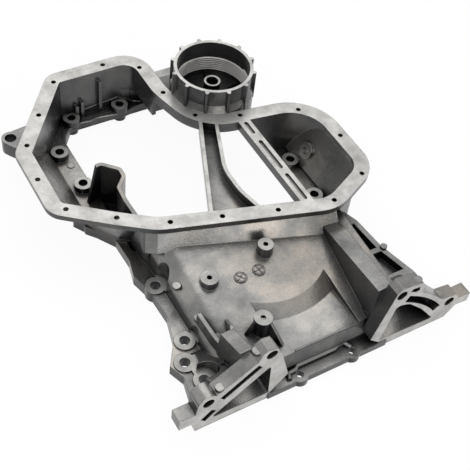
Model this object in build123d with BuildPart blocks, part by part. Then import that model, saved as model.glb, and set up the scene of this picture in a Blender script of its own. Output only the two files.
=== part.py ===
from build123d import *
from math import hypot
import os

os.makedirs("parts", exist_ok=True)

# Upper oil pan of an engine, one aluminium die casting, shown as it lies on its block face.
# X runs across the engine, Y from the transmission face towards the front of the engine
# and Z from the block face up to the face that takes the lower sump.
# The origin is where the block face, the transmission face and the crank plane meet.

# Heights above the block face
sump_height = 68.0
sump_flange_thickness = 6.0
ledge_height = 13.0
lean_foot_height = 17.0
rail_height = 12.0
roof_height = sump_height - sump_flange_thickness

# Walls and draft
wall = 5.0
flange_overhang = 10.0
sump_flange_width = 16.0
front_draft = 8.0

# Outline of the sump flange, counterclockwise from the far left corner, and its corner radii
left_x = -176.0
far_y = 413.0
right_x = 146.0
waist_x = 5.0
far_left_x = -103.0
left_corner_y = 316.5
sump_corners = [
    (far_left_x, far_y),
    (left_x, left_corner_y),
    (left_x, 230.0),
    (-128.5, 193.4),
    (-93.0, 168.6),
    (79.0, 118.2),
    (right_x, 150.0),
    (right_x, 268.0),
    (19.4, 286.5),
    (waist_x, 345.0),
    (waist_x, far_y),
]
sump_radii = [20.0, 14.0, 22.0, 60.0, 60.0, 45.0, 38.0, 55.0, 44.5, 60.0, 32.0]

# Walls under the flange: most are upright, four lean in towards the block face by these steps
left_lean = 32.0
corner_lean = 34.0
near_lean = 16.0
right_lean = 21.0
corner_fan = [(10.9, 12.6), (23.0, 26.5), (-18.4, 58.6)]
fan_share = 0.02
slant = (far_y - left_corner_y) / (far_left_x - left_x)
foot_far_y = far_y - flange_overhang
foot_far_left_x = far_left_x + 0.5 * flange_overhang
foot_left_x = left_x + flange_overhang + left_lean
foot_left_y = foot_far_y + slant * (foot_left_x - foot_far_left_x)

# Oil filter housing
filter_x = 52.0
filter_y = 328.0
filter_bore_radius = 39.0
filter_wall = 3.5
filter_rim_height = 95.0
filter_floor_height = 50.0
filter_floor = 5.0
collar_height = 8.0
collar_reach = 3.0
tube_height = 74.5
tube_radius = 9.0
tube_bore_radius = 6.6
flute_count = 12
flute_angle = 22.5
flute_foot = 3.6
flute_tip = 1.4
flute_reach = 3.6
filter_radius = filter_bore_radius + filter_wall
web_height = 58.0
web_right = 20.0
web_near_y = 348.0

# Tapped holes of the sump flange
sump_hole_radius = 2.6
sump_hole_depth = 14.0
sump_holes = [
    (-100.3, 399.9),
    (-41.2, 405.1),
    (-6.7, 385.4),
    (-1.4, 338.7),
    (13.1, 293.7),
    (56.5, 274.3),
    (118.3, 256.4),
    (137.8, 204.3),
    (126.9, 148.7),
    (80.7, 130.2),
    (23.5, 142.7),
    (-29.7, 158.5),
    (-78.0, 173.0),
    (-121.0, 199.2),
    (-159.5, 228.8),
    (-168.6, 275.2),
    (-160.7, 322.5),
    (-133.6, 358.8),
]

# Block flange, its opening and its bolt bosses
bell_depth = 14.0
passage_right = 44.0
passage_height = 34.0
passage_near_y = 344.0
housing_height = 61.0
opening_half = 98.0
opening_left = -105.0
opening_far = 388.5
opening_front = 22.0
front_opening_half = 87.0
right_rail = [(138.0, 54.0), (127.0, 96.0), (124.0, 134.0)]
flange_corners = [
    (passage_right, foot_far_y),
    (foot_far_left_x, foot_far_y),
    (foot_left_x, foot_left_y),
    (foot_left_x, 246.0),
    (-114.0, 222.0),
    (-113.0, 188.0),
    (-118.0, 168.0),
    (-111.0, 140.0),
    (-110.0, 112.0),
    (-117.0, 86.0),
    (-133.0, 62.0),
    (-127.0, 46.0),
    (-131.0, 28.0),
    (-131.0, bell_depth),
    (139.0, bell_depth),
    *right_rail,
    (115.0, 160.0),
    (115.0, 266.0),
    (101.0, 287.0),
    (100.0, 330.0),
    (86.0, 364.0),
    (60.0, 379.0),
]
ledge_bolts = [
    (-118.4, 346.7),
    (-114.3, 295.2),
    (-86.1, 390.3),
    (-28.6, 389.4),
    (102.4, 234.7),
    (98.2, 179.7),
]
ledge_boss_foot = 11.0
ledge_boss_height = 20.0
ledge_boss_radius = 9.3
ledge_bolt_radius = 4.7
ledge_sleeve_radius = 6.9
side_bolts = [(-104.4, 148.1), (-108.6, 79.8), (-119.5, 58.7), (-112.4, 35.1)]
side_boss_height = 14.0
side_boss_radius = 10.2
side_bolt_radius = 5.0
side_relief_radius = 12.5
front_bolt_half = 29.0
front_bolt_y = 4.0
front_bolt_radius = 3.5
front_lobe_radius = 8.5
strip_height = 8.0
strip_half = 66.0
strip_front = -1.5

# Bars across the sump opening
rib_width = 3.8
rib_draft = 4.0
bar_left = 49.5
bar_width = 13.0
bar_depth = 10.0
bar_slot_width = 4.0
bar_slot_depth = 2.0
bar_slots = [(244.0, 263.0), (189.0, 233.0), (143.0, 181.0)]
pocket_floor_height = 56.5
pocket_floor = 5.0
left_rib_path = [(14.0, 284.0), (-37.5, 166.0)]
curved_rib_path = [(30.0, 280.0), (2.8, 212.0), (2.8, 180.0), (10.0, 148.0)]

# Transmission face
bell_bolt_radius = 5.5
bell_bolts = [(-70.8, 74.4), (-129.0, 38.6), (66.1, 77.0), (137.2, 26.2)]
bell_left_corners = [
    (-67.0, 0.0),
    (-65.5, 6.7),
    (-47.8, 29.0),
    (-59.8, 69.4),
    (-66.0, 81.0),
    (-75.0, 82.5),
    (-81.0, 78.0),
    (-84.0, 70.0),
    (-121.5, 45.0),
    (-135.0, 46.0),
    (-139.5, 39.0),
    (-141.0, 28.0),
    (-156.5, 28.0),
    (-156.5, 14.6),
    (-144.5, 14.6),
    (-140.0, 0.0),
]
bell_right_corners = [
    (139.0, 0.0),
    (149.0, 14.0),
    (164.0, 12.0),
    (164.0, 24.5),
    (149.0, 24.5),
    (144.5, 33.0),
    (126.0, 36.0),
    (113.5, 48.5),
    (101.3, 59.7),
    (91.0, 68.0),
    (91.5, 79.0),
    (88.5, 83.5),
    (65.0, 87.0),
    (59.5, 82.0),
    (45.0, 20.0),
    (60.0, 6.0),
    (72.0, 0.0),
]

left_window = [(-126.0, 10.5), (-66.0, 9.5), (-69.0, 56.0)]
right_window = [(57.0, 12.0), (121.0, 9.5), (101.0, 35.5), (80.0, 57.0), (64.5, 62.0)]
right_window_radii = [1.5, 1.5, 30.0, 20.0, 5.0]
window_depth = 34.0
bell_slots = [[(-115.5, 36.0), (-80.5, 63.2)], [(-132.8, 12.6), (-122.4, 22.8)]]
bell_slot_width = 7.0
barrel_radius = 10.0
crescent_centre = (-1.9, -65.6)
crescent_radius = 153.2
crescent_start = 36.0
crescent_sweep = 24.0
crescent_width = 8.5
tip_pocket = [(75.5, 77.5), (78.0, 80.3), (86.0, 79.0), (86.5, 74.0), (83.0, 73.0)]
tip_pocket_depth = 4.0
ears = [
    (-118.0, -64.0, [(bell_depth, 0), (bell_depth, 44.0), (36.0, 30.0), (66.0, 12.0), (66.0, 0)]),
    (-94.0, -81.0, [(bell_depth, 0), (bell_depth, 72.0), (46.0, 60.0), (50.0, 0)]),
    (50.0, 122.0, [(bell_depth, 0), (bell_depth, 40.0), (40.0, 26.0), (56.0, 12.0), (56.0, 0)]),
]
right_buttress_near = [(50.0, 8.0), (64.0, 8.0), (64.0, 78.0), (50.0, 76.0)]
right_buttress_far = [(64.0, 8.0), (82.0, 8.0), (82.0, 50.0), (64.0, 48.0)]
right_buttress_length = 124.0

# Pockets inside the right rail
pocket_left = 92.0
pocket_depth_floor = 3.0
rail_width = 6.0
rail_pockets = [(60.0, 89.0), (95.0, 132.0)]

# Lug on the slanted wall
lug_x = -162.0
lug_y = 371.0
lug_height = 36.0
lug_thickness = 16.0
lug_radius = 9.5
lug_hole_radius = 6.0
lug_arm = [(-169.0, 364.0), (-150.0, 336.0), (-118.0, 370.0), (-124.0, 384.0), (-158.0, 380.0)]

# Upright ribs on the far wall of the left lobe: place across the engine, foot and top
wall_ribs = [(-50.0, 18.0, 56.0), (-71.5, ledge_height, 34.5), (-78.0, ledge_height, 30.5)]
wall_rib_width = 4.0
wall_rib_reach = 5.0

# Drain boss on the leaning wall of the right lobe
drain_place = (114.2, 227.1, 35.2)
drain_axis = (-45.0, 0, 21.0)
drain_radius = 9.5
drain_hole_radius = 4.0
drain_reach = 6.0

# Curved shroud in the left lobe
shroud_path = [
    (-124.0, 272.0),
    (-102.5, 277.0),
    (-88.0, 262.5),
    (-88.5, 252.0),
    (-99.5, 240.5),
    (-101.0, 222.0),
    (-100.0, 182.0),
    (-97.0, 176.0),
]
shroud_bend = 5.0
shroud_wall = 4.0
shroud_height = 60.0
shroud_slope = [(-130.0, ledge_height), (-119.0, ledge_height), (-108.0, 60.0), (-130.0, 60.0)]
shroud_floor = 6.0
shroud_floor_corners = [
    (-124.0, 273.0),
    (-104.0, 279.0),
    (-86.0, 260.0),
    (-98.0, 240.0),
    (-98.0, 190.0),
    (-108.0, 195.0),
    (-108.0, 224.0),
    (-120.0, 238.0),
]

# Shelf over the flywheel
shelf_half = 101.0
shoulder_radius = 22.0
shelf_reach = 30.0
rise_reach = 8.0
rise_overhang = 3.0
rise_wrap = 12.0
shelf_far = 160.0
shelf_far_height = 47.0
shelf_front = 17.0
shelf_front_height = 31.0
step_centre = (-3.0, 151.0)
step_top_radius = 87.0
step_foot_radius = 100.0
step_foot_height = 28.5
step_left = -43.0
step_right = 41.0
shelf_bosses = [(-68.0, 111.5, 49.0, 8.8), (-2.5, 120.0, 54.5, 7.8), (-47.8, 48.3, 53.0, 8.7)]
shelf_tap_radius = 2.5
shelf_tap_depth = 12.0
gussets = [(-67.0, 48.9), (-36.5, 27.0)]
spur_start = (-82.0, 46.0)
spur_end = (-71.5, 72.0)
spur_top = 58.0
gusset_width = 3.0
gusset_foot_height = 30.0
edge_rail_path = [(-94.3, 83.0), (-93.5, 55.0), (-88.5, 22.0)]
edge_rail_width = 4.0
edge_rail_top = 44.0
edge_rail_depth = 14.0
dials = [(-38.2, 103.9), (-18.0, 104.2)]
dial_radius = 6.3
dial_rise = 1.2


def inset(corners, radii, distance):
    """Move every side of a counterclockwise outline inwards and fit the corner radii to it."""
    count = len(corners)
    lines = []
    for index in range(count):
        x1, y1 = corners[index]
        x2, y2 = corners[(index + 1) % count]
        length = hypot(x2 - x1, y2 - y1)
        ux, uy = (x2 - x1) / length, (y2 - y1) / length
        lines.append((x1 - uy * distance, y1 + ux * distance, ux, uy))
    new_corners = []
    new_radii = []
    for index in range(count):
        x1, y1, ux, uy = lines[index - 1]
        x2, y2, vx, vy = lines[index]
        turn = ux * vy - uy * vx
        along = ((x2 - x1) * vy - (y2 - y1) * vx) / turn
        new_corners.append((x1 + ux * along, y1 + uy * along))
        if turn > 0:
            new_radii.append(max(radii[index] - distance, 4.0))
        else:
            new_radii.append(radii[index] + distance)
    return new_corners, new_radii


def outline(corners, radii, plane=Plane.XY):
    """Closed outline with rounded corners, as a face on the given plane."""
    with BuildSketch(plane) as sketch:
        with BuildLine():
            FilletPolyline(*corners, radius=radii, close=True)
        make_face()
    return sketch.sketch


def polygon(corners, plane=Plane.XY):
    """Closed outline with sharp corners, as a face on the given plane."""
    with BuildSketch(plane) as sketch:
        with BuildLine():
            Polyline(*corners, close=True)
        make_face()
    return sketch.sketch


def band(path, width, plane):
    """Face of even width along a path with rounded bends."""
    with BuildSketch(plane) as sketch:
        with BuildLine():
            if len(path) > 2:
                FilletPolyline(*path, radius=60.0)
            else:
                Line(*path)
        trace(line_width=width)
    return sketch.sketch


def lean_wedge(start, end, lean, offset):
    """Space outside a wall that leans in towards the block face, between two points of the roof line."""
    length = hypot(end[0] - start[0], end[1] - start[1])
    ux, uy = (end[0] - start[0]) / length, (end[1] - start[1]) / length
    plane = Plane(origin=(*start, 0), x_dir=(uy, -ux, 0), z_dir=(-ux, -uy, 0))
    with BuildPart() as wedge:
        with BuildSketch(plane):
            with BuildLine():
                Polyline(
                    (-offset, roof_height),
                    (-lean - offset, lean_foot_height),
                    (-lean - offset, 0),
                    (2 * wall, 0),
                    (2 * wall, roof_height),
                    close=True,
                )
            make_face()
        extrude(amount=-length)
    return wedge.part


def slot_face(path):
    """Round-ended slot along a line in the transmission face."""
    with BuildSketch(Plane.XZ) as sketch:
        with BuildLine():
            Line(*path)
        trace(line_width=bell_slot_width)
    return sketch.sketch


def rail_inner(y):
    """Inner side of the right rail of the block flange at a distance from the transmission face."""
    (x1, y1), (x2, y2), (x3, y3) = right_rail
    if y < y2:
        return x1 + (x2 - x1) * (y - y1) / (y2 - y1) - rail_width
    return x2 + (x3 - x2) * (y - y2) / (y3 - y2) - rail_width


def foot_arc(outer_radius, inner_radius):
    """Far right quarter of a ring around the filter centre."""
    with BuildSketch() as sketch:
        with Locations((filter_x, filter_y)):
            Circle(outer_radius)
            Circle(inner_radius, mode=Mode.SUBTRACT)
        with Locations((filter_x - 2 * wall, filter_y)):
            Rectangle(2 * outer_radius, 2 * outer_radius, align=Align.MIN, mode=Mode.INTERSECT)
    return sketch.sketch


def between(start, end, distance):
    """Point at a distance from the start of a straight line."""
    share = distance / hypot(end[0] - start[0], end[1] - start[1])
    return (start[0] + share * (end[0] - start[0]), start[1] + share * (end[1] - start[1]))


def rise_outline(step):
    """Outline of the rise that follows the flange at a distance outside it, wrapped round the left corner."""
    outer = inset(sump_corners, sump_radii, -step)[0]
    wrapped = between(outer[4], outer[3], rise_wrap)
    inner = inset(sump_corners, sump_radii, 2 * sump_flange_width)[0]
    inner_wrapped = between(inner[4], inner[3], rise_wrap)
    return [wrapped, outer[4], outer[5], inner[5], inner[4], inner_wrapped]


def gusset(start, end, level, top, foot):
    """Thin web that stays level for a first length and then slopes down to the shelf."""
    dx, dy = end[0] - start[0], end[1] - start[1]
    plane = Plane(origin=(*start, 0), x_dir=(dx, dy, 0), z_dir=(dy, -dx, 0))
    with BuildPart() as web:
        profile = polygon([(0, foot), (hypot(dx, dy), foot), (level, top), (0, top)], plane)
        extrude(profile, amount=gusset_width / 2, both=True)
    return web.part


def shelf_height(y):
    """Height of the shelf surface at a distance from the transmission face."""
    slope = (shelf_far_height - shelf_front_height) / (shelf_far - shelf_front)
    return shelf_front_height + slope * (y - shelf_front)


# Outlines of the flange, inside and outside the walls
window_corners, window_radii = inset(sump_corners, sump_radii, sump_flange_width)
wall_corners, wall_radii = inset(sump_corners, sump_radii, flange_overhang)
wall_thickness = sump_flange_width - flange_overhang
roof_plane = Plane.XY.offset(roof_height)
sump_inner = outline(window_corners, window_radii, roof_plane)

# Walls of the two lobes
far_y_reach = far_y - 2 * flange_overhang
leaning_walls = [
    ((wall_corners[2][0], far_y_reach), wall_corners[2], left_lean),
    (wall_corners[2], wall_corners[3], corner_lean),
    (wall_corners[3], wall_corners[4], near_lean),
    (wall_corners[6], (wall_corners[6][0], far_y_reach), right_lean),
]
with BuildPart() as lobes:
    extrude(outline(wall_corners, wall_radii), amount=roof_height)
    for wall_start, wall_end, lean in leaning_walls:
        add(lean_wedge(wall_start, wall_end, lean, 0.0), mode=Mode.SUBTRACT)
corner_foot_plane = Plane.XY.offset(lean_foot_height)

# Fan that joins the two leaning walls at the near left corner
with BuildPart() as corner_fill:
    with BuildSketch(Plane.XY.offset(roof_height)):
        with Locations(wall_corners[3]):
            add(polygon([(fan_share * x, fan_share * y) for x, y in corner_fan]))
    with BuildSketch(corner_foot_plane):
        with Locations(wall_corners[3]):
            add(polygon(corner_fan))
    loft(ruled=True)
    with BuildSketch(corner_foot_plane):
        with Locations(wall_corners[3]):
            add(polygon(corner_fan))
    extrude(amount=-lean_foot_height)

# Hollow inside the walls of the lobes
with BuildPart() as lobe_space:
    extrude(
        outline(window_corners, window_radii, Plane.XY.offset(ledge_height)),
        amount=roof_height - ledge_height,
    )
    for wall_start, wall_end, lean in leaning_walls:
        add(lean_wedge(wall_start, wall_end, lean, wall_thickness), mode=Mode.SUBTRACT)

# Space beneath the shelf
with BuildPart() as front_space:
    with BuildSketch(Plane.YZ.offset(-shelf_half)):
        with BuildLine():
            Polyline(
                (shelf_front + wall, 0),
                (shelf_front + wall, step_foot_height - wall),
                (step_centre[1] - step_top_radius, step_foot_height - wall),
                (shelf_far - wall, shelf_far_height - wall),
                (shelf_far + 40.0, shelf_far_height - wall),
                (shelf_far + 40.0, 0),
                close=True,
            )
        make_face()
    extrude(amount=2 * shelf_half)
    with BuildSketch(Plane.XY):
        with Locations((0, shelf_far / 2 + 20.0)):
            Rectangle(2 * front_opening_half, shelf_far + 60.0)
    extrude(amount=sump_height, taper=front_draft, mode=Mode.INTERSECT)

# Space beneath the filter housing, and the low passage to it from the left lobe
waist_inner_radius = sump_radii[8] + sump_flange_width
with BuildPart() as filter_space:
    with BuildSketch():
        with Locations((filter_x, filter_y)):
            Circle(waist_inner_radius)
    extrude(amount=housing_height - wall)
    extrude(
        polygon(
            [
                (waist_x - 3 * flange_overhang, 290.0),
                (0, 255.0),
                (waist_x, passage_near_y),
                (waist_x - 3 * flange_overhang, passage_near_y),
            ]
        ),
        amount=housing_height - wall,
    )
    extrude(
        polygon(
            [(0, 0), (84.0, 0), (56.0, housing_height - wall), (0, housing_height - wall)],
            Plane.XZ.offset(-250.0),
        ),
        amount=-80.0,
    )
passage_corners = [
    (waist_x - 3 * flange_overhang, passage_near_y),
    (filter_x, filter_y),
    (filter_x, filter_y + filter_radius - wall),
    (passage_right - 2 * wall, foot_far_y - wall - 1.0),
    (waist_x - 3 * flange_overhang, foot_far_y - wall - 1.0),
]

# Shroud of the left lobe, cut off at a slope on the ledge
with BuildPart() as shroud:
    with BuildSketch():
        with BuildLine():
            FilletPolyline(*shroud_path, radius=shroud_bend)
        trace(line_width=shroud_wall)
    extrude(amount=shroud_height)
    extrude(polygon(shroud_slope, Plane.XZ), amount=-2 * far_y, both=True, mode=Mode.SUBTRACT)

# Step between the upper and the lower part of the shelf
with BuildPart() as shelf_step:
    with BuildSketch(Plane.XY.offset(step_foot_height)):
        with Locations(((step_left + step_right) / 2, 50.0)):
            Rectangle(step_right - step_left, 100.0)
    extrude(amount=30.0)
    with Locations((*step_centre, step_foot_height + 15.0)):
        Cone(
            step_foot_radius,
            step_foot_radius - 4.0 * (step_foot_radius - step_top_radius),
            30.0,
            mode=Mode.SUBTRACT,
        )

# Front body with the shelf on top and a rounded left shoulder
with BuildPart() as front_body:
    extrude(
        polygon(
            [
                (0, 0),
                (0, strip_height),
                (shelf_front - 7, strip_height),
                (shelf_front, shelf_front_height),
                (shelf_far + shelf_reach, shelf_height(shelf_far + shelf_reach)),
                (shelf_far + shelf_reach, 0),
            ],
            Plane.YZ.offset(-shelf_half),
        ),
        amount=2 * shelf_half,
    )
    with BuildSketch(Plane.XY):
        with Locations((0, shelf_far / 2)):
            Rectangle(2 * shelf_half, shelf_far + 4 * shelf_reach)
    extrude(amount=sump_height, taper=front_draft, mode=Mode.INTERSECT)
    shoulder_edge = front_body.edges().sort_by_distance((-shelf_half, shelf_far / 2, shelf_far_height))[0]
    fillet(shoulder_edge, radius=shoulder_radius)
    add(shelf_step.part, mode=Mode.SUBTRACT)

with BuildPart() as pan:
    # Front body under the shelf, and the walls of the two lobes
    add(front_body.part)
    add(lobes.part)
    add(corner_fill.part)

    # Rise from the shelf to the sump flange
    loft(
        [
            polygon(rise_outline(rise_reach), Plane.XY.offset(shelf_far_height - wall)),
            polygon(rise_outline(-rise_overhang), roof_plane),
        ],
        ruled=True,
    )

    # Sump flange
    extrude(outline(sump_corners, sump_radii, Plane.XY.offset(roof_height)), amount=sump_flange_thickness)

    # Block flange and the low strip between the transmission faces
    extrude(polygon(flange_corners), amount=rail_height)
    with BuildSketch(Plane.XY.offset(strip_height)):
        with Locations((0, 0)):
            Rectangle(2 * strip_half, 2 * (shelf_front - wall))
    extrude(amount=rail_height, mode=Mode.SUBTRACT)
    with BuildSketch():
        Rectangle(2 * strip_half, -2 * strip_front)
    extrude(amount=strip_height)

    # Hollow of the lobes, beneath the shelf and beneath the filter housing
    add(lobe_space.part, mode=Mode.SUBTRACT)
    add(front_space.part, mode=Mode.SUBTRACT)
    add(filter_space.part, mode=Mode.SUBTRACT)

    # Foot of the filter housing and the low web beside it
    with BuildSketch(Plane.XY.offset(filter_floor_height - filter_floor)):
        with Locations((filter_x, filter_y)):
            Circle(filter_radius + collar_reach)
    extrude(amount=sump_height - filter_floor_height + filter_floor)
    extrude(
        polygon(
            [
                (waist_x - flange_overhang, web_near_y),
                (filter_x, web_near_y),
                (filter_x, filter_y + filter_radius),
                (web_right, filter_y + filter_radius + 2.0),
                (waist_x - flange_overhang, filter_y + filter_radius + 2.0),
            ],
        ),
        amount=web_height,
    )
    extrude(
        polygon(
            [
                (waist_x - flange_overhang, filter_y + 30.0),
                (filter_x, filter_y + 30.0),
                (passage_right, foot_far_y),
                (waist_x - flange_overhang, foot_far_y),
            ],
        ),
        amount=passage_height + wall,
    )
    extrude(foot_arc(filter_radius + wall, filter_radius), amount=filter_floor_height)
    extrude(
        polygon(passage_corners, Plane.XY.offset(ledge_height)),
        amount=passage_height - ledge_height,
        mode=Mode.SUBTRACT,
    )
    extrude(
        outline(
            [
                (opening_left, 366.0),
                (opening_left, 200.0),
                (-front_opening_half, 165.0),
                (-front_opening_half, opening_front),
                (front_opening_half, opening_front),
                (front_opening_half, 150.0),
                (opening_half, 175.0),
                (opening_half, 260.0),
                (88.0, 290.0),
                (88.0, 340.0),
                (70.0, 364.0),
                (34.0, 370.0),
                (22.0, opening_far),
                (-88.0, opening_far),
            ],
            6.0,
        ),
        amount=ledge_height,
        mode=Mode.SUBTRACT,
    )

    # Sump opening with its bars left standing
    extrude(sump_inner, amount=sump_flange_thickness, mode=Mode.SUBTRACT)
    sump_plane = Plane.XY.offset(sump_height)
    rib_foot = Plane.XY.offset(pocket_floor_height - pocket_floor)
    rib_depth = sump_height - pocket_floor_height + pocket_floor
    extrude(band(left_rib_path, rib_width, sump_plane), amount=-rib_depth, taper=rib_draft)
    extrude(band(curved_rib_path, rib_width, sump_plane), amount=-rib_depth, taper=rib_draft)
    extrude(
        outline(
            [(14.5, 284.0), (-35.5, 166.0), (9.0, 152.0), (2.8, 180.0), (2.8, 212.0), (29.0, 280.0)],
            [1.0, 1.0, 1.0, 60.0, 60.0, 1.0],
            rib_foot,
        ),
        amount=pocket_floor,
    )
    with BuildSketch(Plane.XY.offset(sump_height - bar_depth)):
        with Locations((bar_left + bar_width / 2, 203.0)):
            Rectangle(bar_width, 140.0)
    extrude(amount=bar_depth)
    for slot_start, slot_end in bar_slots:
        with BuildSketch(Plane.XY.offset(sump_height)):
            with Locations((bar_left + bar_width / 2, (slot_start + slot_end) / 2)):
                SlotOverall(slot_end - slot_start, bar_slot_width, rotation=90)
        extrude(amount=-bar_slot_depth, mode=Mode.SUBTRACT)

    # Outer wall of the filter housing with its collar and flutes
    with BuildSketch(Plane.XY.offset(filter_floor_height - filter_floor)):
        with Locations((filter_x, filter_y)):
            Circle(filter_radius)
    extrude(amount=filter_rim_height - filter_floor_height + filter_floor)
    with Locations((filter_x, filter_y, sump_height + collar_height / 2)):
        Cone(filter_radius + collar_reach, filter_radius, collar_height)
    with BuildSketch(Plane.XY.offset(roof_height)):
        with Locations((filter_x, filter_y)):
            with PolarLocations(filter_radius, flute_count, start_angle=flute_angle):
                Polygon(
                    (-flute_reach, -flute_foot),
                    (flute_reach, -flute_tip),
                    (flute_reach, flute_tip),
                    (-flute_reach, flute_foot),
                    align=None,
                )
    extrude(amount=filter_rim_height - roof_height)

    # Bore of the filter housing
    with BuildSketch(Plane.XY.offset(filter_floor_height)):
        with Locations((filter_x, filter_y)):
            Circle(filter_bore_radius)
            Circle(tube_radius, mode=Mode.SUBTRACT)
    extrude(amount=filter_rim_height - filter_floor_height, mode=Mode.SUBTRACT)
    with BuildSketch(Plane.XY.offset(tube_height)):
        with Locations((filter_x, filter_y)):
            Circle(tube_radius)
    extrude(amount=filter_rim_height - tube_height, mode=Mode.SUBTRACT)
    with BuildSketch(Plane.XY.offset(tube_height)):
        with Locations((filter_x, filter_y)):
            Circle(tube_bore_radius)
    extrude(amount=-tube_height, mode=Mode.SUBTRACT)

    # Bosses of the shelf and its two dials
    for boss_x, boss_y, boss_top, boss_radius in shelf_bosses:
        with BuildSketch(Plane.XY.offset(boss_top)):
            with Locations((boss_x, boss_y)):
                Circle(boss_radius)
        extrude(amount=shelf_height(boss_y) - wall - boss_top)
    for boss_x, boss_y, boss_top, boss_radius in shelf_bosses:
        with BuildSketch(Plane.XY.offset(boss_top)):
            with Locations((boss_x, boss_y)):
                Circle(shelf_tap_radius)
        extrude(amount=-shelf_tap_depth, mode=Mode.SUBTRACT)
    tall_x, tall_y, tall_top, tall_radius = shelf_bosses[-1]
    for gusset_end in gussets:
        add(gusset((tall_x, tall_y), gusset_end, tall_radius, tall_top - 1.5, gusset_foot_height))
    add(gusset(spur_start, spur_end, wall, spur_top, gusset_foot_height + wall))
    for dial_x, dial_y in dials:
        dial_top = shelf_height(dial_y) + dial_rise
        with BuildSketch(Plane.XY.offset(dial_top - wall)):
            with Locations((dial_x, dial_y)):
                Circle(dial_radius)
        extrude(amount=wall)

    # Transmission faces at the two front corners, with the buttresses that carry them
    extrude(polygon(bell_left_corners, Plane.XZ), amount=-bell_depth)
    extrude(polygon(bell_right_corners, Plane.XZ), amount=-bell_depth)
    with BuildSketch(Plane.XZ):
        with Locations(bell_bolts[1]):
            Circle(barrel_radius)
    extrude(amount=-bell_depth - 2.0)
    for ear_start, ear_end, ear_profile in ears:
        extrude(polygon(ear_profile, Plane.YZ.offset(ear_start)), amount=ear_end - ear_start)
    loft(
        [
            polygon([(x, z) for x, z in right_buttress_near], Plane.XZ.offset(-bell_depth)),
            polygon([(x, z) for x, z in right_buttress_far], Plane.XZ.offset(-right_buttress_length)),
        ],
        ruled=True,
    )
    add(front_space.part, mode=Mode.SUBTRACT)
    extrude(outline(left_window, 2.0, Plane.XZ), amount=-window_depth, mode=Mode.SUBTRACT)
    extrude(outline(right_window, right_window_radii, Plane.XZ), amount=-window_depth, mode=Mode.SUBTRACT)
    for slot_path in bell_slots:
        extrude(slot_face(slot_path), amount=-bell_depth + 2.0, mode=Mode.SUBTRACT)
    with BuildSketch(Plane.XZ):
        with BuildLine():
            CenterArc(crescent_centre, crescent_radius, crescent_start, crescent_sweep)
        trace(line_width=crescent_width)
    extrude(amount=-bell_depth + 2.0, mode=Mode.SUBTRACT)
    extrude(polygon(tip_pocket, Plane.XZ), amount=-tip_pocket_depth, mode=Mode.SUBTRACT)

    # Long pockets between the right buttress and the rail of the block flange
    for pocket_start, pocket_end in rail_pockets:
        extrude(
            polygon(
                [
                    (pocket_left, pocket_start),
                    (rail_inner(pocket_start), pocket_start),
                    (rail_inner(pocket_end), pocket_end),
                    (pocket_left, pocket_end),
                ],
                Plane.XY.offset(pocket_depth_floor),
            ),
            amount=rail_height,
            mode=Mode.SUBTRACT,
        )

    # Lug on the slanted wall
    with BuildSketch(Plane.XY.offset(lug_height - lug_thickness)):
        with Locations((lug_x, lug_y)):
            Circle(lug_radius)
        add(polygon(lug_arm))
    extrude(amount=lug_thickness)
    with BuildSketch(Plane.XY.offset(lug_height)):
        with Locations((lug_x, lug_y)):
            Circle(lug_hole_radius)
    extrude(amount=-lug_thickness, mode=Mode.SUBTRACT)

    # Upright ribs of the far wall and the drain boss of the right lobe
    for rib_x, rib_foot_height, rib_top_height in wall_ribs:
        with BuildSketch(Plane.XY.offset(rib_foot_height)):
            with Locations((rib_x, far_y - sump_flange_width)):
                Rectangle(wall_rib_width, 2 * wall_rib_reach)
        extrude(amount=rib_top_height - rib_foot_height)
    drain_plane = Plane(origin=drain_place, x_dir=(0, 1, 0), z_dir=drain_axis)
    with BuildSketch(drain_plane):
        Circle(drain_radius)
    extrude(amount=-drain_reach)
    with BuildSketch(drain_plane):
        Circle(drain_hole_radius)
    extrude(amount=-2 * drain_reach, mode=Mode.SUBTRACT)

    # Curved shroud that stands in the left lobe, with the floor behind it
    add(shroud.part)
    extrude(polygon(shroud_floor_corners), amount=shroud_floor)

    # Bosses of the block bolts
    for bolt_x, bolt_y in ledge_bolts:
        with BuildSketch():
            with Locations((bolt_x, bolt_y)):
                Circle(ledge_sleeve_radius)
        extrude(amount=ledge_boss_height)
        with BuildSketch(Plane.XY.offset(ledge_boss_foot)):
            with Locations((bolt_x, bolt_y)):
                Circle(ledge_boss_radius)
        extrude(amount=ledge_boss_height - ledge_boss_foot)
    for bolt_x, bolt_y in side_bolts:
        with BuildSketch(Plane.XY.offset(side_boss_height)):
            with Locations((bolt_x, bolt_y)):
                Circle(side_relief_radius)
        extrude(amount=roof_height - side_boss_height, mode=Mode.SUBTRACT)
        with BuildSketch():
            with Locations((bolt_x, bolt_y)):
                Circle(side_boss_radius)
        extrude(amount=side_boss_height)
    extrude(band(edge_rail_path, edge_rail_width, Plane.XY.offset(edge_rail_top)), amount=-edge_rail_depth)
    for bolt_x in (-front_bolt_half, front_bolt_half):
        with BuildSketch():
            with Locations((bolt_x, front_bolt_y)):
                Circle(front_lobe_radius)
        extrude(amount=strip_height)

    # Bolt holes of the block face, the sump face and the transmission faces
    with BuildSketch():
        with Locations(*ledge_bolts):
            Circle(ledge_bolt_radius)
        with Locations(*side_bolts):
            Circle(side_bolt_radius)
        with Locations((-front_bolt_half, front_bolt_y), (front_bolt_half, front_bolt_y)):
            Circle(front_bolt_radius)
    extrude(amount=ledge_boss_height, mode=Mode.SUBTRACT)
    with BuildSketch(Plane.XY.offset(sump_height)):
        with Locations(*sump_holes):
            Circle(sump_hole_radius)
    extrude(amount=-sump_hole_depth, mode=Mode.SUBTRACT)
    with BuildSketch(Plane.XZ):
        with Locations(*bell_bolts):
            Circle(bell_bolt_radius)
    extrude(amount=-bell_depth, mode=Mode.SUBTRACT)

pan.part.label = "upper_pan_casting"
export_step(pan.part, "parts/upper_pan_casting.step")
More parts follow.
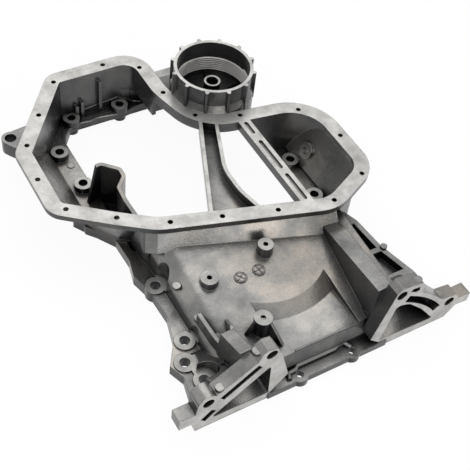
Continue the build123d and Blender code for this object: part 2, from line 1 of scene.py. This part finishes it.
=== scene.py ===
import bpy
import bmesh
from math import radians, sin, cos, pi
from mathutils import Matrix, Vector


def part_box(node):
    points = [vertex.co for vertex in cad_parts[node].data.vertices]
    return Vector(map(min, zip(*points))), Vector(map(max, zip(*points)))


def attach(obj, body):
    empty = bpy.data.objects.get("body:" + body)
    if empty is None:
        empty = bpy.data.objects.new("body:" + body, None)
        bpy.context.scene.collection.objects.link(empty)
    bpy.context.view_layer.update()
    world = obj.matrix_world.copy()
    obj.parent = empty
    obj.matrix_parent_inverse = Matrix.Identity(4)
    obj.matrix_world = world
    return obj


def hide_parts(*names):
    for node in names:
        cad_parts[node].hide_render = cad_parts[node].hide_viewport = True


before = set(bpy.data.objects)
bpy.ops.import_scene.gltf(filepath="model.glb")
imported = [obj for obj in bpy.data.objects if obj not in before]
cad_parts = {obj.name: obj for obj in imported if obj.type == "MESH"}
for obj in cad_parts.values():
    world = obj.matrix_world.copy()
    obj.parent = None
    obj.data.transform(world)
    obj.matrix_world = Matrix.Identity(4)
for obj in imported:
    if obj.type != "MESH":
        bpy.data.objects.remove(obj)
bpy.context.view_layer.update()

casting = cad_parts["upper_pan_casting"]
low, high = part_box("upper_pan_casting")
mm = 0.001  # places below are written in millimetres, as on a drawing
filterCentre = (52.0, 328.0)
print("frame loaded")


# the camera stands at the angle of the photograph
camera = {
    "place": (-0.3678, -0.3313, 0.7374),
    "azimuth": -36.0,
    "elevation": 49.4,
    "roll": 8.2,
    "lens": 72.0,
    "sensor": 36.0,
    "nearClip": 0.05,
}


def makeCamera(settings):
    a, e, r = (radians(settings[key]) for key in ("azimuth", "elevation", "roll"))
    back = Vector((sin(a) * cos(e), -cos(a) * cos(e), sin(e)))
    side = Vector((cos(a), sin(a), 0))
    top = back.cross(side)
    right = cos(r) * side + sin(r) * top
    up = -sin(r) * side + cos(r) * top
    data = bpy.data.cameras.new("photoCamera")
    data.lens = settings["lens"]
    data.sensor_width = settings["sensor"]
    data.clip_start = settings["nearClip"]
    item = bpy.data.objects.new("photoCamera", data)
    bpy.context.scene.collection.objects.link(item)
    turn = Matrix((right, up, back)).transposed().to_4x4()
    item.matrix_world = Matrix.Translation(settings["place"]) @ turn
    bpy.context.scene.camera = item


makeCamera(camera)
bpy.context.scene.view_settings.view_transform = "Standard"
print("camera placed")


# how finely the shaders sample the hollows for their painted shade, and soften edges
shading = {
    "hollowSamples": 8,
    "edgeSamples": 6,
}


# builds the nodes of one material
class Nodes:
    def __init__(self, name):
        self.material = bpy.data.materials.new(name)
        self.material.use_nodes = True
        self.tree = self.material.node_tree
        self.tree.nodes.clear()
        self.output = self.add("ShaderNodeOutputMaterial")
        self.shader = self.add("ShaderNodeBsdfPrincipled")
        self.link(self.shader, "BSDF", self.output, "Surface")
        self.coords = self.add("ShaderNodeTexCoord")

    def add(self, kind, **values):
        node = self.tree.nodes.new(kind)
        for key, value in values.items():
            if hasattr(node, key):
                setattr(node, key, value)
            else:
                node.inputs[key.replace("_", " ")].default_value = value
        return node

    def link(self, source, output, target, socket):
        self.tree.links.new(source.outputs[output], target.inputs[socket])

    def mapped(self, scale=(1, 1, 1)):
        node = self.add("ShaderNodeMapping")
        node.inputs["Scale"].default_value = scale
        self.link(self.coords, "Object", node, "Vector")
        return node

    def noise(self, size, detail, rough, scale=(1, 1, 1)):
        node = self.add("ShaderNodeTexNoise", Scale=1.0 / size, Detail=detail, Roughness=rough)
        self.link(self.mapped(scale), "Vector", node, "Vector")
        return node

    def ramp(self, source, output, stops):
        node = self.add("ShaderNodeValToRGB")
        while len(node.color_ramp.elements) < len(stops):
            node.color_ramp.elements.new(0.5)
        for element, (place, value) in zip(node.color_ramp.elements, stops):
            element.position = place
            element.color = (value, value, value, 1) if isinstance(value, float) else (*value, 1)
        self.link(source, output, node, "Fac")
        return node

    def mix(self, a, b, fac, mode="MIX"):
        node = self.add("ShaderNodeMix", data_type="RGBA", blend_type=mode)
        for socket, value in ((6, a), (7, b)):  # its two colours, and the mixed one is output 2
            if isinstance(value, tuple):
                node.inputs[socket].default_value = (*value, 1)
            else:
                self.tree.links.new(value, node.inputs[socket])
        if isinstance(fac, float):
            node.inputs[0].default_value = fac
        else:
            self.tree.links.new(fac, node.inputs[0])
        return node

    def bump(self, source, output, strength, distance, under):
        node = self.add("ShaderNodeBump", Strength=strength, Distance=distance)
        self.link(source, output, node, "Height")
        self.link(under, "Normal", node, "Normal")
        return node

    # painted shade: a ramp on ambient occlusion, dark in hollows and corners
    def hollow(self, distance, stops):
        node = self.add("ShaderNodeAmbientOcclusion", Distance=distance)
        node.samples = shading["hollowSamples"]
        return self.ramp(node, "AO", stops)

    def softEdge(self, radius):
        node = self.add("ShaderNodeBevel", Radius=radius)
        node.samples = shading["edgeSamples"]
        return node


# a pattern is its size in metres, detail and roughness, and a ramp is pairs of place and value
skin = {
    # painted shade: the dark tone that upright walls are mixed towards, where less light falls on
    # them
    "paintedWallShade": (0.03, 0.031, 0.033),
    "dark": (0.12, 0.12, 0.118),
    "middle": (0.22, 0.217, 0.21),
    "light": (0.38, 0.37, 0.352),
    "stain": (0.25, 0.195, 0.145),
    # painted shade: the near-black colour that hollows and corners are mixed towards
    "paintedShade": (0.008, 0.008, 0.009),
    "patch": (0.045, 7.0, 0.62),
    "patchPlaces": (0.3, 0.5, 0.7),
    "cloud": (0.09, 5.0, 0.7),
    "stainRamp": [(0.5, 0.0), (0.7, 0.5)],
    "grain": (0.0012, 3.0, 0.6),
    "grainRamp": [(0.3, 0.84), (0.7, 1.08)],
    "grainBump": (0.3, 0.0003),  # strength and depth
    "wave": (0.016, 3.0, 0.5),
    "waveBump": (0.3, 0.0012),
    # painted shade on upright walls: they keep only this share of the floor's tone
    "wallShare": 0.26,  # how much of the floor's tone an upright wall keeps
    "lieRamp": [(0.1, 0.0), (0.55, 1.0)],
    # reach and ramp of the painted shade in hollows
    "hollow": 0.038,
    "hollowRamp": [(0.28, 0.0), (0.76, 1.0)],
    "metallic": 0.75,
    "roughRamp": [(0.3, 0.33), (0.7, 0.19)],
    "edge": 0.0012,
}


def makeSkin(settings):
    m = Nodes("castSkin")
    patch = m.noise(*settings["patch"])
    tones = (settings["dark"], settings["middle"], settings["light"])
    tone = m.ramp(patch, "Fac", list(zip(settings["patchPlaces"], tones)))
    cloud = m.noise(*settings["cloud"])
    where = m.ramp(cloud, "Fac", settings["stainRamp"])
    stained = m.mix(tone.outputs["Color"], settings["stain"], where.outputs["Color"])
    grain = m.noise(*settings["grain"])
    speck = m.ramp(grain, "Fac", settings["grainRamp"])
    toned = m.mix(stained.outputs[2], speck.outputs["Color"], 1.0, "MULTIPLY")
    # painted shade: upright walls darkened and floors kept, by how each face lies, as light from
    # above would do
    lie = m.add("ShaderNodeAttribute", attribute_name="faceLie")  # 1 on floors, 0 on upright walls
    laid = m.ramp(lie, "Fac", settings["lieRamp"])
    wall = m.mix(settings["paintedWallShade"], toned.outputs[2], settings["wallShare"])
    leaned = m.mix(wall.outputs[2], toned.outputs[2], laid.outputs["Color"])
    # painted shade: hollows and corners darkened towards a near-black colour, by ambient occlusion
    shade = m.hollow(settings["hollow"], settings["hollowRamp"])
    colour = m.mix(settings["paintedShade"], leaned.outputs[2], shade.outputs["Color"])
    m.tree.links.new(colour.outputs[2], m.shader.inputs["Base Color"])
    m.shader.inputs["Metallic"].default_value = settings["metallic"]
    rough = m.ramp(patch, "Fac", settings["roughRamp"])
    m.link(rough, "Color", m.shader, "Roughness")
    wave = m.noise(*settings["wave"])
    rolled = m.bump(wave, "Fac", *settings["waveBump"], m.softEdge(settings["edge"]))
    pitted = m.bump(grain, "Fac", *settings["grainBump"], rolled)
    m.link(pitted, "Normal", m.shader, "Normal")
    return m.material


# what the three cut finishes below have in common
milling = {
    "cloud": (0.018, 7.0, 0.65),
    "cloudPlaces": (0.3, 0.62),
    "pits": (0.0016, 2.0, 0.5),
    "pitRamp": [(0.66, 0.0), (0.74, 1.0)],
    "lines": (0.0008, 2.0, 0.5),
    "lineStretch": (0.15, 1, 1),
    "lineBump": (0.12, 0.0002),
    # reach and ramp of the painted shade in hollows of the cut faces
    "hollow": 0.004,
    "hollowRamp": [(0.35, 0.0), (0.8, 1.0)],
    "metallic": 0.6,
    "roughRamp": [(0.3, 0.42), (0.7, 0.3)],
}

machined = {
    "name": "machinedFace",
    "light": (0.45, 0.441, 0.424),
    "dull": (0.27, 0.265, 0.254),
    "speck": (0.16, 0.155, 0.15),
    # painted shade: the colour that hollows are mixed towards
    "paintedShade": (0.05, 0.05, 0.05),
    "edge": 0.0006,
}

bossCut = {
    "name": "bossFace",
    "light": (0.33, 0.325, 0.31),
    "dull": (0.2, 0.196, 0.188),
    "speck": (0.1, 0.095, 0.09),
    # painted shade: the colour that hollows are mixed towards
    "paintedShade": (0.02, 0.02, 0.02),
    "edge": 0.0006,
}

threadCut = {
    "name": "threadCut",
    "light": (0.5, 0.49, 0.47),
    "dull": (0.3, 0.29, 0.28),
    "speck": (0.1, 0.095, 0.09),
    # painted shade: the colour that hollows are mixed towards
    "paintedShade": (0.01, 0.01, 0.01),
    "edge": 0.0002,
}


def makeMachined(settings, shared):
    m = Nodes(settings["name"])
    cloud = m.noise(*shared["cloud"])
    tones = (settings["dull"], settings["light"])
    tone = m.ramp(cloud, "Fac", list(zip(shared["cloudPlaces"], tones)))
    pits = m.noise(*shared["pits"])
    mark = m.ramp(pits, "Fac", shared["pitRamp"])
    marked = m.mix(tone.outputs["Color"], settings["speck"], mark.outputs["Color"])
    # painted shade: hollows and corners darkened towards the shade colour, by ambient occlusion
    shade = m.hollow(shared["hollow"], shared["hollowRamp"])
    colour = m.mix(settings["paintedShade"], marked.outputs[2], shade.outputs["Color"])
    m.tree.links.new(colour.outputs[2], m.shader.inputs["Base Color"])
    m.shader.inputs["Metallic"].default_value = shared["metallic"]
    rough = m.ramp(cloud, "Fac", shared["roughRamp"])
    m.link(rough, "Color", m.shader, "Roughness")
    cut = m.noise(*shared["lines"], shared["lineStretch"])
    lines = m.bump(cut, "Fac", *shared["lineBump"], m.softEdge(settings["edge"]))
    m.link(lines, "Normal", m.shader, "Normal")
    return m.material


castSkin = makeSkin(skin)
machinedFace = makeMachined(machined, milling)
bossFace = makeMachined(bossCut, milling)
threadFace = makeMachined(threadCut, milling)
print("materials made")


# the casting keeps its shape and gets sharp creases, and bright metal where it was milled
faces = {
    "bright": (68.0, high.z / mm),  # sump flange and filter rim
    "dull": (20.0, 14.0, 49.0, 54.5, 53.0, 74.5),  # bosses and the filter's tube
    "crease": 12.0,  # degrees, between the facets of a curve and a real edge
    "facing": 0.99,
    "slack": 0.00005,
    "merge": 0.000002,
}


def finishOf(face, settings):
    middle = face.calc_center_median()
    if face.normal.y < -settings["facing"] and abs(middle.y) < settings["slack"]:
        return 1
    for slot, group in ((1, "bright"), (2, "dull")):
        for height in settings[group]:
            level = abs(middle.z - height * mm) < settings["slack"]
            if face.normal.z > settings["facing"] and level:
                return slot
    return 0


def creaseAndLay(bm, settings):
    limit = radians(settings["crease"])
    for edge in bm.edges:
        edge.smooth = len(edge.link_faces) == 2 and edge.calc_face_angle(0) < limit
    # how flat each face lies, which the cast skin uses to paint shade on upright walls
    lie = bm.loops.layers.float.new("faceLie")
    for face in bm.faces:
        face.smooth = True
        for loop in face.loops:
            loop[lie] = max(face.normal.z, 0.0)


def dressCasting(source, settings):
    mesh = source.data.copy()
    mesh.name = "panBody"
    bm = bmesh.new()
    bm.from_mesh(mesh)
    bmesh.ops.remove_doubles(bm, verts=bm.verts, dist=settings["merge"])
    creaseAndLay(bm, settings)
    for face in bm.faces:
        face.material_index = finishOf(face, settings)
    mesh.materials.clear()  # before the faces go in, because clearing resets their slots
    for material in (castSkin, machinedFace, bossFace):
        mesh.materials.append(material)
    bm.to_mesh(mesh)
    bm.free()
    item = bpy.data.objects.new("panBody", mesh)
    bpy.context.scene.collection.objects.link(item)
    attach(item, "root")
    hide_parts("upper_pan_casting")


dressCasting(casting, faces)
print("casting dressed")


# small cast and cut details, each a mesh of its own
def newPiece(name, bm, material):
    bmesh.ops.recalc_face_normals(bm, faces=bm.faces)
    creaseAndLay(bm, faces)
    mesh = bpy.data.meshes.new(name)
    bm.to_mesh(mesh)
    bm.free()
    mesh.materials.append(material)
    item = bpy.data.objects.new(name, mesh)
    bpy.context.scene.collection.objects.link(item)
    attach(item, "root")


def addDisc(bm, x, y, top, radius, depth, sides=32):
    bmesh.ops.create_cone(
        bm,
        cap_ends=True,
        segments=sides,
        radius1=radius * mm,
        radius2=radius * mm,
        depth=depth * mm,
        matrix=Matrix.Translation((x * mm, y * mm, (top - depth / 2) * mm)),
    )


def addBar(bm, start, end, width, foot, top):
    run = Vector((end[0] - start[0], end[1] - start[1]))
    middle = Vector(((start[0] + end[0]) / 2, (start[1] + end[1]) / 2, (foot + top) / 2)) * mm
    turn = Matrix.Rotation(run.angle_signed(Vector((1, 0))), 4, "Z")
    size = Matrix.Diagonal((run.length * mm, width * mm, (top - foot) * mm, 1))
    bmesh.ops.create_cube(bm, size=1, matrix=Matrix.Translation(middle) @ turn @ size)


def addBead(bm, path, radius, sides=10):
    points = [Vector(point) * mm for point in path]
    circle = bmesh.ops.create_circle(bm, cap_ends=True, segments=sides, radius=radius * mm)
    ring = circle["verts"]
    edges = [edge for edge in bm.edges if all(vert in ring for vert in edge.verts)]
    frames = []
    for index, point in enumerate(points):
        ahead = points[min(index + 1, len(points) - 1)] - points[max(index - 1, 0)]
        turn = ahead.to_track_quat("Z", "Y").to_matrix().to_4x4()
        frames.append(Matrix.Translation(point) @ turn)
    bmesh.ops.transform(bm, matrix=frames[0], verts=ring)
    for before, after in zip(frames, frames[1:]):
        grown = bmesh.ops.extrude_edge_only(bm, edges=edges)["geom"]
        ring = [item for item in grown if isinstance(item, bmesh.types.BMVert)]
        edges = [item for item in grown if isinstance(item, bmesh.types.BMEdge)]
        edges = [edge for edge in edges if all(vert in ring for vert in edge.verts)]
        bmesh.ops.transform(bm, matrix=after @ before.inverted(), verts=ring)
    bmesh.ops.holes_fill(bm, edges=edges, sides=sides)


# the cap's thread in the filter housing
thread = {
    "centre": filterCentre,
    "radius": 39.25,
    "depth": 1.5,
    "low": 57.5,
    "pitch": 2.5,
    "tooth": (0.42, 0.54, 0.96),  # crest from, crest to and foot, as shares of the pitch
    "turns": 7,
    "steps": 72,
}


def makeThread(settings):
    bm = bmesh.new()
    x, y = settings["centre"]
    rise = settings["pitch"]
    crestFrom, crestTo, foot = (rise * share for share in settings["tooth"])
    depth = settings["depth"]
    points = []
    for inward, up in ((0, 0), (depth, crestFrom), (depth, crestTo), (0, foot)):
        place = ((x + settings["radius"] - inward) * mm, y * mm, (settings["low"] + up) * mm)
        points.append(bm.verts.new(place))
    face = bm.faces.new(points)
    bmesh.ops.spin(
        bm,
        geom=[face],
        cent=(x * mm, y * mm, 0),
        axis=(0, 0, 1),
        dvec=(0, 0, rise * mm / settings["steps"]),
        angle=2 * pi * settings["turns"],
        steps=settings["steps"] * settings["turns"],
    )
    bmesh.ops.holes_fill(bm, edges=[edge for edge in bm.edges if edge.is_boundary], sides=4)
    newPiece("filterThread", bm, threadFace)


# low ribs on the floor of the filter housing
cupFloor = {
    "centre": filterCentre,
    "floor": 46.0,
    "height": 50.0,
    "inner": 8.0,
    "outer": 39.1,
    "width": 2.6,
    "ribs": 6,
    "turn": 12.0,
}


def makeCupRibs(settings):
    bm = bmesh.new()
    x, y = settings["centre"]
    for count in range(settings["ribs"]):
        angle = radians(settings["turn"] + 360.0 * count / settings["ribs"])
        near = (x + settings["inner"] * cos(angle), y + settings["inner"] * sin(angle))
        far = (x + settings["outer"] * cos(angle), y + settings["outer"] * sin(angle))
        addBar(bm, near, far, settings["width"], settings["floor"], settings["height"])
    newPiece("cupRibs", bm, castSkin)


# round pads that ejector pins leave
pads = {
    "places": [  # x, y, top and radius
        (-95.2, 124.3, 37.5, 4.2),
        (-94.3, 83.0, 38.0, 4.2),
        (-90.0, 55.0, 41.0, 4.2),
        (-116.7, 4.7, 50.0, 4.2),
        (-81.5, 8.0, 78.0, 4.5),
        (86.0, 5.6, 84.2, 4.0),
        (125.3, 7.6, 37.0, 4.0),
        (128.3, 92.2, 14.0, 3.6),
        (-113.2, 329.3, 13.8, 4.0),
    ],
    "depth": 3.5,
}


def makePads(settings):
    bm = bmesh.new()
    for x, y, top, radius in settings["places"]:
        addDisc(bm, x, y, top, radius, settings["depth"])
    newPiece("ejectorPads", bm, castSkin)


# a ring and a plain cross on each of the two cast discs
dials = {
    "centres": [(-38.2, 103.9), (-18.0, 104.2)],
    "top": 42.0,
    "radius": 5.6,
    "width": 0.9,
    "raise": 0.5,
    "sink": 0.3,
    "turns": (35.0, 10.0),
    "steps": 40,
}


def makeDials(settings):
    bm = bmesh.new()
    foot, crest = settings["top"] - settings["sink"], settings["top"] + settings["raise"]
    radius, width = settings["radius"], settings["width"]
    for (x, y), turn in zip(settings["centres"], settings["turns"]):
        for quarter in (0, 90):
            angle = radians(turn + quarter)
            reach = Vector((cos(angle), sin(angle))) * radius
            near, far = (x - reach.x, y - reach.y), (x + reach.x, y + reach.y)
            addBar(bm, near, far, width, foot, crest)
        section = [
            bm.verts.new(((x + radius - side * width) * mm, y * mm, level * mm))
            for side, level in ((0, foot), (0, crest), (1, crest), (1, foot))
        ]
        ring = [bm.edges.new((section[i], section[(i + 1) % 4])) for i in range(4)]
        bmesh.ops.spin(
            bm,
            geom=section + ring,
            cent=(x * mm, y * mm, 0),
            axis=(0, 0, 1),
            angle=2 * pi,
            steps=settings["steps"],
            use_merge=True,
        )
    newPiece("castDials", bm, castSkin)


# wavy lip of the far ledge, and a bead along the wall above it
ledge = {
    "outline": [
        (-106.0, 357.0),
        (-100.5, 372.0),
        (-93.0, 380.0),
        (-86.0, 382.6),
        (-77.0, 384.6),
        (-66.0, 383.0),
        (-57.0, 384.8),
        (-46.0, 383.2),
        (-37.0, 381.8),
        (-28.6, 381.2),
        (-20.0, 382.6),
        (-12.0, 385.0),
        (4.0, 386.6),
        (14.0, 389.0),
        (-84.0, 389.0),
        (-101.0, 383.0),
        (-108.0, 366.0),
    ],
    "foot": 6.0,
    "top": 13.3,
    "round": 1.2,
    "segments": 3,
    "wallBead": [
        (-94.0, 393.0, 19.0),
        (-82.0, 396.6, 20.0),
        (-67.0, 397.4, 19.5),
        (-52.0, 397.4, 21.5),
        (-38.0, 397.4, 22.5),
        (-28.0, 397.4, 23.5),
        (-19.0, 397.4, 19.0),
        (-10.0, 395.0, 13.5),
        (-2.0, 390.0, 13.0),
    ],
    "beadRadius": 1.0,
}


def makeLedgeLip(settings):
    bm = bmesh.new()
    foot, top = settings["foot"] * mm, settings["top"] * mm
    corners = [bm.verts.new((x * mm, y * mm, foot)) for x, y in settings["outline"]]
    face = bm.faces.new(corners)
    grown = bmesh.ops.extrude_face_region(bm, geom=[face], use_keep_orig=True)["geom"]
    raised = [item for item in grown if isinstance(item, bmesh.types.BMVert)]
    bmesh.ops.translate(bm, verts=raised, vec=(0, 0, top - foot))
    rim = [edge for edge in bm.edges if all(vert in raised for vert in edge.verts)]
    bmesh.ops.bevel(
        bm,
        geom=rim,
        offset=settings["round"] * mm,
        offset_type="OFFSET",
        affect="EDGES",
        segments=settings["segments"],
        profile=0.5,
        material=-1,
        clamp_overlap=True,
    )
    addBead(bm, settings["wallBead"], settings["beadRadius"])
    newPiece("ledgeLip", bm, castSkin)


# rounded rim and lip of the front strip
strip = {
    "rim": [
        (-41.0, 3.0, 9.0),
        (-39.0, 9.0, 9.5),
        (-31.0, 9.6, 10.0),
        (-28.0, 12.0, 11.0),
        (14.0, 12.0, 11.0),
        (18.0, 14.0, 11.0),
        (25.0, 14.0, 11.0),
        (30.0, 8.0, 9.0),
    ],
    "rimRadius": 2.6,
    "lip": [
        (-30.0, 16.6, 30.6),
        (-15.0, 16.6, 30.9),
        (5.0, 16.6, 30.6),
        (22.0, 16.6, 31.0),
        (38.0, 16.8, 30.6),
    ],
    "lipRadius": 1.0,
}


def makeStripRim(settings):
    bm = bmesh.new()
    addBead(bm, settings["rim"], settings["rimRadius"])
    addBead(bm, settings["lip"], settings["lipRadius"])
    newPiece("stripRim", bm, castSkin)


# the casting's far wall has a short gap beside the filter housing, which this closes
farWall = {
    "start": (-24.0, 400.0),
    "end": (11.0, 400.0),
    "thickness": 5.8,
    "foot": 1.0,
    "top": 37.0,
}


def makeFarWall(settings):
    bm = bmesh.new()
    start, end = settings["start"], settings["end"]
    addBar(bm, start, end, settings["thickness"], settings["foot"], settings["top"])
    newPiece("farWallEnd", bm, castSkin)


makeLedgeLip(ledge)
makeStripRim(strip)
makeFarWall(farWall)
makeThread(thread)
makeCupRibs(cupFloor)
makePads(pads)
makeDials(dials)
print("details added")


# pale floor, lamps and sky
studio = {
    "floorSize": 60.0,
    "floorColour": (0.92, 0.92, 0.92),
    "floorRough": 0.9,
    "glow": 0.93,  # share of white that the camera sees in the floor, the rest keeps the shadow
    "lamps": [  # name, place, size and power
        ("keyLamp", (-1.1, -0.9, 1.6), 1.2, 15.0),
        ("backLamp", (0.3, 1.3, 1.8), 2.2, 15.0),
        ("sideLamp", (1.6, -0.6, 0.9), 1.0, 5.0),
        ("frontLamp", (-0.2, -1.8, 0.6), 1.4, 12.0),
    ],
    "sky": (0.93, 0.95, 0.97),
    "horizon": (0.4, 0.4, 0.41),
    "skyStrength": 0.7,
    "skyPlaces": (0.05, 0.85),
}


# 1 for what the camera sees, also in metal and through glass, and 0 for diffuse light
def seenDirectly(tree):
    rays = tree.nodes.new("ShaderNodeLightPath")
    total = rays.outputs["Is Camera Ray"]
    for kind in ("Is Glossy Ray", "Is Transmission Ray"):
        both = tree.nodes.new("ShaderNodeMath")
        both.operation = "MAXIMUM"
        tree.links.new(total, both.inputs[0])
        tree.links.new(rays.outputs[kind], both.inputs[1])
        total = both.outputs[0]
    return total


def makeFloor(settings):
    bm = bmesh.new()
    bmesh.ops.create_grid(bm, x_segments=1, y_segments=1, size=settings["floorSize"] / 2)
    bmesh.ops.translate(bm, verts=bm.verts, vec=(0, 0, low.z))
    mesh = bpy.data.meshes.new("studioFloor")
    bm.to_mesh(mesh)
    bm.free()
    m = Nodes("floorPaper")
    m.shader.inputs["Base Color"].default_value = (*settings["floorColour"], 1)
    m.shader.inputs["Roughness"].default_value = settings["floorRough"]
    glow = m.add("ShaderNodeEmission", Color=(1, 1, 1, 1))
    share = m.add("ShaderNodeMath", operation="MULTIPLY")
    m.tree.links.new(seenDirectly(m.tree), share.inputs[0])
    share.inputs[1].default_value = settings["glow"]
    blend = m.add("ShaderNodeMixShader")
    m.tree.links.new(share.outputs[0], blend.inputs[0])
    m.tree.links.new(m.shader.outputs[0], blend.inputs[1])
    m.tree.links.new(glow.outputs[0], blend.inputs[2])
    m.tree.links.new(blend.outputs[0], m.output.inputs["Surface"])
    mesh.materials.append(m.material)
    item = bpy.data.objects.new("studioFloor", mesh)
    bpy.context.scene.collection.objects.link(item)


def makeLamps(settings):
    middle = (low + high) / 2
    for name, place, size, power in settings["lamps"]:
        data = bpy.data.lights.new(name, "AREA")
        data.shape = "DISK"
        data.size = size
        data.energy = power
        item = bpy.data.objects.new(name, data)
        bpy.context.scene.collection.objects.link(item)
        item.location = place
        item.rotation_euler = (middle - Vector(place)).to_track_quat("-Z", "Y").to_euler()


def makeWorld(settings):
    world = bpy.data.worlds.new("studioWorld")
    world.use_nodes = True
    tree = world.node_tree
    sky = tree.nodes["Background"]
    sky.inputs["Strength"].default_value = settings["skyStrength"]
    coords = tree.nodes.new("ShaderNodeTexCoord")
    split = tree.nodes.new("ShaderNodeSeparateXYZ")
    fade = tree.nodes.new("ShaderNodeValToRGB")
    tones = (settings["horizon"], settings["sky"])
    for element, place, tone in zip(fade.color_ramp.elements, settings["skyPlaces"], tones):
        element.position = place
        element.color = (*tone, 1)
    tree.links.new(coords.outputs["Generated"], split.inputs["Vector"])
    tree.links.new(split.outputs["Z"], fade.inputs["Fac"])
    tree.links.new(fade.outputs["Color"], sky.inputs["Color"])
    white = tree.nodes.new("ShaderNodeBackground")
    white.inputs["Color"].default_value = (1, 1, 1, 1)
    blend = tree.nodes.new("ShaderNodeMixShader")
    tree.links.new(seenDirectly(tree), blend.inputs[0])
    tree.links.new(sky.outputs[0], blend.inputs[1])
    tree.links.new(white.outputs[0], blend.inputs[2])
    tree.links.new(blend.outputs[0], tree.nodes["World Output"].inputs["Surface"])
    bpy.context.scene.world = world


makeFloor(studio)
makeLamps(studio)
makeWorld(studio)
print("studio lit")
